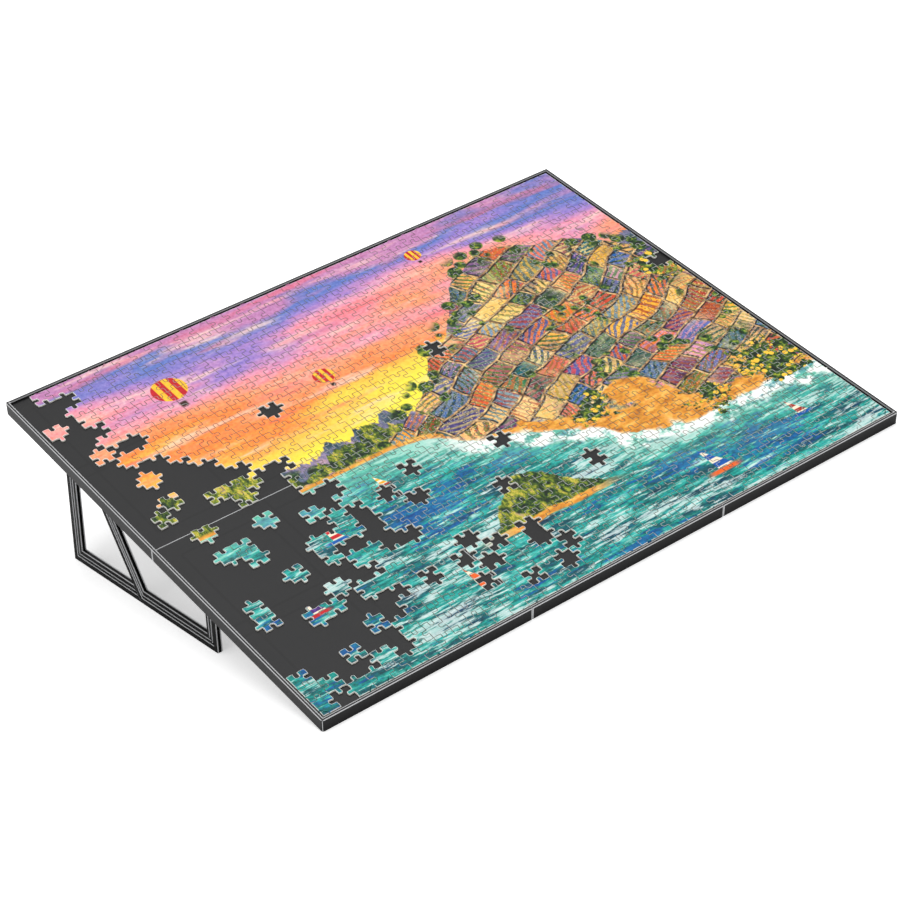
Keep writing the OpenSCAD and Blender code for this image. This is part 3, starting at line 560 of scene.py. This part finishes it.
def buildPrint():
    sheet, given, result = newGroup("lakeGardenPrint", {"Place": "NodeSocketVector"},
                                    {"Colour": "NodeSocketColor"})
    place = given.outputs[0]
    u, v, _ = sheet.axes(place)
    scene = paintSky(sheet, place, v)
    # far hills in cool blue and violet, then low green ones, then a round hill of terraces on the right
    crag = sheet.span(sheet.noise(sheet.vector(u, 6.1), 22.0, 5.0, 0.6), 0.25, 0.75, -0.02, 0.02)
    farLine = sheet.plus(sheet.span(sheet.noise(sheet.vector(u, 3.3), 4.0, 4.0), 0.25, 0.75, 0.49, 0.58),
                         sheet.plus(hump(sheet, u, *scenery["farHump"]), crag))
    farHill = sheet.ramp(sheet.noise(stretched(sheet, place, 16, 10), 1.0, 6.0, 0.7), tones["farHill"])
    scene = sheet.mix(under(sheet, farLine, v, 0.006), scene, farHill)
    roll = sheet.span(sheet.noise(sheet.vector(u, 8.8), 7.0, 5.0, 0.6), 0.25, 0.75, 0.0, 0.08)
    peaks = sheet.plus(*[hump(sheet, u, *facts) for facts in scenery["nearHumps"]])
    nearLine = sheet.plus(sheet.plus(roll, sheet.plus(0.45, crag)), peaks)
    slopes = sheet.noise(stretched(sheet, place, 40, 18, 0.7), 1.0, 7.0, 0.75)
    nearHill = sheet.ramp(slopes, tones["nearHill"])
    scene = sheet.mix(under(sheet, nearLine, v, 0.005), scene, nearHill)
    climb = sheet.plus(hump(sheet, u, *scenery["terraceHump"]), 0.45)
    steps = sheet.span(sheet.noise(sheet.vector(u, 5.5), 9.0, 4.0), 0.3, 0.7, 0.0, 0.05)
    fieldTop = sheet.plus(climb, steps)
    scene = sheet.mix(under(sheet, fieldTop, v, 0.004), scene, paintFields(sheet, place))
    crowns = sheet.cells(stretched(sheet, place, 26, 26), 1.0)
    crownBand = lineMask(sheet, sheet.minus(fieldTop, v), 0.0, 0.055)
    foliage = sheet.ramp(sheet.noise(place, 70.0, 5.0, 0.7), tones["foliage"])
    scene = sheet.mix(sheet.times(sheet.span(crowns, 0.44, 0.36), crownBand), scene, foliage)
    # lake in front of a shore that nears to the right, with a golden strand above it and foam at the edge
    turn = sheet.span(u, 0.50, 0.62)
    ragged = sheet.times(sheet.span(sheet.noise(place, 9.0, 5.0), 0.3, 0.7, -0.025, 0.025), turn)
    shore = sheet.plus(sheet.span(u, 0.46, 1.0, scenery["horizon"], scenery["nearShore"]), ragged)
    fromShore = sheet.minus(shore, v)
    strand = sheet.ramp(sheet.noise(stretched(sheet, place, 30, 60, 0.3), 1.0, 5.0, 0.65), tones["strand"])
    reach = sheet.plus(sheet.plus(hump(sheet, u, *scenery["strandHump"]), ragged), 0.012)
    scene = sheet.mix(sheet.span(sheet.plus(fromShore, reach), 0.0, 0.010), scene, strand)
    scene = sheet.mix(sheet.span(fromShore, 0.0, 0.004), scene, paintLake(sheet, place, fromShore))
    foamLine = sheet.times(lineMask(sheet, fromShore, 0.020, 0.032), turn)
    foam = sheet.times(foamLine, sheet.span(sheet.noise(place, 30.0, 6.0, 0.65), 0.40, 0.54))
    scene = sheet.mix(foam, scene, tones["foam"])
    # island: a wooded mound on a low sandy foot
    middle, foot, width, height = scenery["island"]
    crest = sheet.plus(hump(sheet, u, middle, width, height), sheet.times(crag, 0.6))
    above = sheet.minus(v, sheet.plus(foot, sheet.times(ragged, 0.3)))
    lowCrest = sheet.minus(hump(sheet, u, middle, width * 1.6, 0.026), above)
    sandy = sheet.times(sheet.span(lowCrest, 0.006, 0.010), sheet.span(above, -0.018, -0.014))
    scene = sheet.mix(sheet.times(sandy, lineMask(sheet, u, middle, width * 2.1)), scene, strand)
    wooded = sheet.times(sheet.span(sheet.minus(crest, above), 0.012, 0.018),
                         sheet.span(above, -0.002, 0.002))
    scene = sheet.mix(wooded, scene, nearHill)
    scene = sheet.mix(sheet.times(wooded, sheet.span(crowns, 0.50, 0.36)), scene, foliage)
    scene = paintTrees(sheet, scene, place, u, v, foliage)
    scene = paintSails(sheet, scene, u, v)
    scene = paintBalloons(sheet, scene, u, v)
    # brush strokes over all of it, then printer's contrast: dull dark colours are pulled down towards ink
    strokes = sheet.ramp(sheet.noise(place, 120.0, 4.0, 0.7), tones["brush"])
    painted = sheet.mix(0.45, scene, strokes, "OVERLAY")
    painted = sheet.put("ShaderNodeGamma", {"Color": painted, "Gamma": scenery["gamma"]})
    strongest = sheet.put("ShaderNodeSeparateColor", {"Color": painted}, out=2, mode="HSV")
    ink = sheet.span(strongest, *scenery["ink"], smooth=False)
    sheet.feed(result.inputs[0], sheet.vectorMath("MULTIPLY", painted, sheet.grey(ink)))
    return sheet.tree


# The jigsaw. "built" is the first built column of each row from the rear, "laid" the pieces left of it that
# lie in their places, and "missing" the holes right of it.

jigsaw = {
    "pieces": (36, 28), "perTray": (12, 14), "thick": 0.002, "play": 0.002,
    "knob": 0.12, "sway": 0.03, "seed": 11,
    "shoulder": (0, 0.36, 0.7), "head": (0, 0.25, 0.5, 0.75), "return": (0, 0.3, 0.64),
    "cut": 0.00012, "round": 0.00045, "roundHigh": 0.7, "sunk": 0.0001, "uneven": (0.00005, 0.0035, 0.0035),
    "built": [1, 3, 2, 2, 3, 2, 4, 2, 4, 5, 6, 7, 9, 8, 8, 10, 9, 8, 6, 10, 7, 8, 6, 8, 7, 6, 6, 2],
    "laid": [(1, 6), (4, 12), (5, 12), (6, 12), (5, 13), (7, 16), (6, 19), (0, 25), (0, 26), (1, 26),
             (4, 26), (0, 27)],
    "missing": [(10, 8), (20, 9), (35, 10), (13, 16), (9, 17), (11, 17), (18, 17), (9, 18), (12, 18),
                (9, 20), (10, 20), (16, 20), (21, 21), (12, 22), (9, 23), (11, 23), (13, 23), (15, 23),
                (12, 24), (15, 24), (11, 25), (16, 25), (13, 26), (15, 26)],
}
# Loose pieces: place across and down the board as shares, turn in degrees, and the pieces of the
# picture that each one is, the first at that place.
looseRear = [
    (0.024, 0.128, 1, [(0, 3)]), (0.075, 0.341, 2, [(2, 9)]), (0.075, 0.411, -1, [(2, 11)]),
    (0.047, 0.446, 1, [(1, 12)]),
]
looseFront = [
    (0.075, 0.517, -2, [(2, 14)]), (0.157, 0.551, 2, [(5, 15)]),
    (0.075, 0.587, 1, [(2, 16), (3, 16), (3, 17)]), (0.129, 0.693, 4, [(4, 19)]),
    (0.048, 0.727, 1, [(1, 20), (1, 21)]), (0.157, 0.762, 1, [(5, 21)]),
    (0.103, 0.798, 1, [(3, 22), (4, 22)]), (0.102, 0.905, 2, [(3, 25)]), (0.158, 0.872, -1, [(5, 24)]),
]

jigInset = board["rim"] + jigsaw["play"]
jigWidth, jigDepth = board["width"] - 2 * jigInset, board["depth"] - 2 * jigInset
pitch = np.array([jigWidth / jigsaw["pieces"][0], jigDepth / jigsaw["pieces"][1]])


def knobSides(columns, rows, turn):  # 1 or -1 by a sine that looks random, the odd or even steps of its size
    sine = np.abs(np.sin(np.radians(73 * columns + 131 * rows + 57 * turn)))
    return np.where(np.floor(97.3 * sine) % 2 > 0, 1, -1)


def cutCurves(count, seed):
    # three cubic Bezier arcs to a cut: shoulder, round head, shoulder. The shoulders' own control points are
    # a fifth in from the ends, the head's one and two knob sizes from the middle, and all sway a little.
    sway = np.random.default_rng(seed).uniform(-1, 1, (count, 5)) * jigsaw["sway"]
    a, b, c, d, e = sway.T
    t, zero = jigsaw["knob"], 0 * sway[:, 0]
    along = np.stack([zero, 0.2 + zero, 0.5 + b + d, 0.5 - t + b, 0.5 - 2 * t + b - d, 0.5 + 2 * t + b - d,
                      0.5 + t + b, 0.5 + b + d, 0.8 + zero, 1 + zero], 1)
    across = np.stack([zero, a, c - t, c + t, c + 3 * t, c + 3 * t, c + t, c - t, e, zero], 1)
    arcs = []
    for start, part in ((0, "shoulder"), (3, "head"), (6, "return")):
        s = np.array(jigsaw[part], float)
        weights = np.stack([(1 - s) ** 3, 3 * s * (1 - s) ** 2, 3 * s * s * (1 - s), s ** 3])
        arcs.append((along[:, start:start + 4] @ weights, across[:, start:start + 4] @ weights))
    return np.concatenate([arc[0] for arc in arcs], 1), np.concatenate([arc[1] for arc in arcs], 1)


def cutEdges():
    # every cut between pieces as points on the flat board: upright cuts run backwards, level ones rightwards
    wide, deep = jigsaw["pieces"]
    left, front = -jigWidth / 2, jigInset
    column, row = np.meshgrid(np.arange(wide + 1), np.arange(deep), indexing="ij")
    along, across = cutCurves(column.size, jigsaw["seed"])
    bend = np.where((column > 0) & (column < wide), knobSides(column, row, 0), 0).ravel()[:, None]
    start = front + (deep - 1 - row.ravel()[:, None]) * pitch[1]
    upright = np.stack([left + column.ravel()[:, None] * pitch[0] + bend * across * pitch[0],
                        start + along * pitch[1]], -1).reshape(wide + 1, deep, -1, 2)
    column, row = np.meshgrid(np.arange(wide), np.arange(deep + 1), indexing="ij")
    along, across = cutCurves(column.size, jigsaw["seed"] + 1)
    bend = np.where((row > 0) & (row < deep), knobSides(column, row, 1), 0).ravel()[:, None]
    level = np.stack([left + (column.ravel()[:, None] + along) * pitch[0],
                      front + (deep - row.ravel()[:, None]) * pitch[1] - bend * across * pitch[1]],
                     -1).reshape(wide, deep + 1, -1, 2)
    return upright, level


def closeCut(cut, corner):  # a cut read from its far end: its points reversed, from the given corner on
    return np.concatenate([corner[..., None, :], cut[..., :0:-1, :]], -2)


def pieceOutlines():
    # each piece's four cuts joined into one ring, anticlockwise from its front left corner
    upright, level = cutEdges()
    rightEnds = np.concatenate([level[1:, :, 0], level[-1:, :, 0] + [pitch[0], 0]], 0)
    backEnds = upright[:, :, 0] + [0, pitch[1]]
    return np.concatenate([level[:, 1:], upright[1:], closeCut(level[:, :-1], rightEnds[:, :-1]),
                           closeCut(upright[:-1], backEnds[:-1])], 2)


def inwards(ring):  # unit vectors into the piece: at every point, square to the line between its neighbours
    run = np.roll(ring, -1, -2) - np.roll(ring, 1, -2)
    run /= np.linalg.norm(run, axis=-1, keepdims=True)
    return np.stack([-run[..., 1], run[..., 0]], -1)


outlines = pieceOutlines()
print("jigsaw cut:", outlines.shape)


def openSides(cells, mates):
    # 1 at the points of every side, front to left, where a piece meets none of its mates
    beside = ((0, 1), (1, 0), (0, -1), (-1, 0))
    alone = [[(c + dc, r + dr) not in near for dc, dr in beside] for (c, r), near in zip(cells, mates)]
    return np.repeat(np.array(alone, float), outlines.shape[2] // 4, 1)


def cutPieces(name, body, node, cells, mates, moves=None):
    # rings of every piece stacked up: foot, shoulder, and the rim of its flat face inside the pressed edge,
    # which is twice as wide where no other piece meets it. Each piece lies a little high or low, and leans.
    home = np.stack([outlines[c, r] for c, r in cells])
    into = inwards(home)
    alone = openSides(cells, mates)
    rounding = [(0.0, 0.0), (0.0, 1.0 - jigsaw["roundHigh"] * jigsaw["round"] / jigsaw["thick"]), (1.0, 1.0)]
    rings = np.stack([home + into * (jigsaw["cut"] + share * jigsaw["round"] * (1 + alone[..., None]))
                      for share, _ in rounding], 1)
    count, levels, points = rings.shape[:3]
    picture = (rings + [jigWidth / 2, -jigInset]) / jigDepth
    lift = np.random.default_rng(jigsaw["seed"] + len(name)).uniform(-1, 1, (count, 3)) * jigsaw["uneven"]
    if moves is not None:
        turn, pivot, place = moves
        turned = np.einsum("nij,nlpj->nlpi", turn, rings - pivot[:, None, None])
        rings = turned + place[:, None, None]
    middle = rings.mean((1, 2))
    tops = np.array([high for _, high in rounding]) * jigsaw["thick"]
    sway = ((rings - middle[:, None, None]) * lift[:, None, None, 1:]).sum(-1)
    raised = (lift[:, :1, None] + sway - jigsaw["sunk"]) * (tops > 0)[None, :, None]
    heights = board["deck"] + tops[None, :, None] + raised
    vertices = onBoard(np.concatenate([rings, heights[..., None]], -1)).reshape(-1, 3)
    n, l, p = np.meshgrid(np.arange(count), np.arange(levels - 1), np.arange(points), indexing="ij")
    low = n * levels * points + l * points
    bands = np.stack([low + p, low + (p + 1) % points, low + points + (p + 1) % points, low + points + p], -1)
    first = np.arange(count)[:, None] * levels * points
    faces = bands.reshape(-1, 4).tolist()
    faces += (first + (levels - 1) * points + np.arange(points)).tolist()
    faces += (first + np.arange(points)[::-1]).tolist()
    mesh = bpy.data.meshes.new(name)
    mesh.from_pydata(vertices.tolist(), [], faces)
    corners = np.empty(len(mesh.loops), np.int32)
    mesh.loops.foreach_get("vertex_index", corners)
    mesh.uv_layers.new(name="picture").data.foreach_set("uv", picture.reshape(-1, 2)[corners].ravel())
    marks = {"cutEdge": np.array([1.0, 1.0, 0.0])[None, :, None], "openEdge": alone[:, None]}
    for label, mark in marks.items():
        values = np.broadcast_to(mark, (count, levels, points)).ravel()
        mesh.attributes.new(label, "FLOAT", "POINT").data.foreach_set("value", values)
    mesh.materials.append(printedCard)
    piece = bpy.data.objects.new(name, mesh)
    bpy.context.scene.collection.objects.link(piece)
    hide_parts(node)
    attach(piece, body)


# Printed card: the print with a linen emboss, and pale board where the die has cut. The pressed rims carry
# painted light: between pieces a painted highlight on dark print and painted shade on pale print, and on open
# sides a nearly white painted highlight.

# the three pressed-rim colours and their shares are painted highlight and painted shade
card = {
    "threads": 1500.0, "emboss": 0.00005, "strength": 0.35, "roughness": (0.42, 0.85), "specular": 0.16,
    "fibres": 1400.0, "fibre": srgb(206, 202, 192), "bare": srgb(248, 246, 238),
    "darkToPale": (0.05, 0.24), "highlightOnDark": srgb(214, 220, 220), "highlightOnDarkShare": 0.6,
    "shadeOnPale": srgb(112, 104, 100), "openHighlight": srgb(250, 252, 248), "openHighlightShare": 0.72,
    "pressed": (0.0, 0.6), "cut": (0.9, 0.97),
}


def printedBoard():
    material, sheet, shader = newMaterial("printedCard")
    place = sheet.put("ShaderNodeUVMap", uv_map="picture")
    colour = sheet.group(buildPrint(), {"Place": place})
    cut = sheet.put("ShaderNodeAttribute", out="Fac", attribute_name="cutEdge")
    lone = sheet.put("ShaderNodeAttribute", out="Fac", attribute_name="openEdge")
    fibres = sheet.noise(sheet.own(), card["fibres"])
    bare = sheet.mix(sheet.span(fibres, 0.3, 0.7), card["fibre"], card["bare"])
    x, y, _ = sheet.axes(place)
    weave = sheet.times(*[sheet.math("SINE", sheet.times(way, card["threads"])) for way in (x, y)])
    bump = sheet.put("ShaderNodeBump", {"Height": weave, "Distance": card["emboss"],
                                        "Strength": card["strength"]})
    # painted light on the pressed rims: a pale painted highlight on dark print, painted shade on pale print,
    # a nearly white painted highlight on open sides
    light = sheet.put("ShaderNodeRGBToBW", {"Color": colour})
    litOnDark = sheet.mix(card["highlightOnDarkShare"], colour, card["highlightOnDark"])
    shadedOnPale = sheet.mix(1.0, colour, card["shadeOnPale"], "MULTIPLY")
    closedHighlightAndShade = sheet.mix(sheet.span(light, *card["darkToPale"]), litOnDark, shadedOnPale)
    rim = sheet.mix(lone, closedHighlightAndShade, sheet.mix(card["openHighlightShare"], colour, card["openHighlight"]))
    pressed = sheet.mix(sheet.span(cut, *card["pressed"]), colour, rim)
    sheet.feedAll(shader, {"Base Color": sheet.mix(sheet.span(cut, *card["cut"]), pressed, bare),
                           "Roughness": sheet.span(cut, 0.0, 1.0, *card["roughness"]), "Normal": bump,
                           "Specular IOR Level": card["specular"]})
    return material


printedCard = printedBoard()


def isBuilt(column, row):
    if column < jigsaw["built"][row]:
        return (column, row) in jigsaw["laid"]
    return (column, row) not in jigsaw["missing"]


wholeWidth, wholeDepth = jigsaw["pieces"]
builtCells = {(c, r) for c in range(wholeWidth) for r in range(wholeDepth) if isBuilt(c, r)}
for trayColumn, side in enumerate(("left", "centre", "right")):
    for trayRow, end in enumerate(("rear", "front")):
        wide, deep = jigsaw["perTray"]
        trayCells = sorted((c, r) for c, r in builtCells if c // wide == trayColumn and r // deep == trayRow)
        cutPieces(f"jigsawPieces_{end}_{side}", f"{end}_{side}", f"jigsaw_{end}_{side}", trayCells,
                  [builtCells] * len(trayCells))


def layLoose(name, body, node, spots):  # each cluster turned about its first piece and carried to its place
    cells, mates, turns, pivots, places = [], [], [], [], []
    for across, down, degrees, cluster in spots:
        angle = math.radians(degrees)
        turn = [[math.cos(angle), -math.sin(angle)], [math.sin(angle), math.cos(angle)]]
        column, row = cluster[0]
        pivot = [(column + 0.5) * pitch[0] - jigWidth / 2,
                 jigInset + (jigsaw["pieces"][1] - row - 0.5) * pitch[1]]
        for cell in cluster:
            cells.append(cell)
            mates.append(cluster)
            turns.append(turn)
            pivots.append(pivot)
            places.append([(across - 0.5) * board["width"], (1 - down) * board["depth"]])
    cutPieces(name, body, node, cells, mates, (np.array(turns), np.array(pivots), np.array(places)))


layLoose("loosePieces_rear", "rear_left", "loose_pieces_rear", looseRear)
layLoose("loosePieces_front", "front_left", "loose_pieces_front", looseFront)
print("jigsaw laid")


# Finishes of the frame's own pieces

def dress(nodes, material):
    for name in nodes:
        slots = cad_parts[name].data.materials
        for number in range(len(slots)):
            slots[number] = material


cadNames = sorted(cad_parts)
dress([n for n in cadNames if n.startswith("tray_")], trayPlastic())
dress([n for n in cadNames if n.startswith("leg_") and "frame" in n], legPlastic())
dress([n for n in cadNames if n.startswith(("hinge_rod", "leg_dowel"))], drawnSteel())
print("frame dressed")


# Stage: a white floor that keeps the shadow, and white all round for camera and gloss

stage = {
    "half": 14.0, "floor": srgb(252, 252, 252), "roughness": 0.9, "lift": 0.50, "farLift": 1.0, "near": 1.1,
    "far": 4.0, "white": (1, 1, 1, 1), "worldLight": 0.55,
}


def layFloor():
    half = stage["half"]
    mesh = bpy.data.meshes.new("studioFloor")
    corners = [(-half, -half, 0), (half, -half, 0), (half, half, 0), (-half, half, 0)]
    mesh.from_pydata(corners, [], [(0, 1, 2, 3)])
    material, sheet, shader = newMaterial("floorPaint")
    # lifted towards white for the camera, more so far away, and not there at all when seen from below
    seen = sheet.put("ShaderNodeLightPath", out="Is Camera Ray")
    far = sheet.put("ShaderNodeVectorMath", {0: sheet.own()}, out="Value", operation="LENGTH")
    lift = sheet.span(far, stage["near"], stage["far"], stage["lift"], stage["farLift"])
    sheet.feedAll(shader, {"Base Color": stage["floor"], "Roughness": stage["roughness"],
                           "Specular IOR Level": 0.0, "Emission Color": stage["white"],
                           "Emission Strength": sheet.times(seen, lift)})
    below = sheet.put("ShaderNodeNewGeometry", out="Backfacing")
    blend = sheet.put("ShaderNodeMixShader", {0: below, 1: shader.outputs[0],
                                              2: sheet.put("ShaderNodeBsdfTransparent")})
    sheet.feed(material.node_tree.nodes["Material Output"].inputs["Surface"], blend)
    mesh.materials.append(material)
    floor = bpy.data.objects.new("studioFloor", mesh)
    bpy.context.scene.collection.objects.link(floor)


def lightWorld():
    world = bpy.data.worlds.new("studioWorld")
    world.use_nodes = True
    bpy.context.scene.world = world
    sheet = Sheet(world.node_tree)
    seen = sheet.put("ShaderNodeLightPath", out=None)
    straight = highest(sheet, [seen.outputs["Is Camera Ray"], seen.outputs["Is Glossy Ray"]])
    strength = sheet.span(straight, 0.0, 1.0, stage["worldLight"], 1.0, smooth=False)
    sheet.feedAll(world.node_tree.nodes["Background"], {"Color": stage["white"], "Strength": strength})


layFloor()
lightWorld()
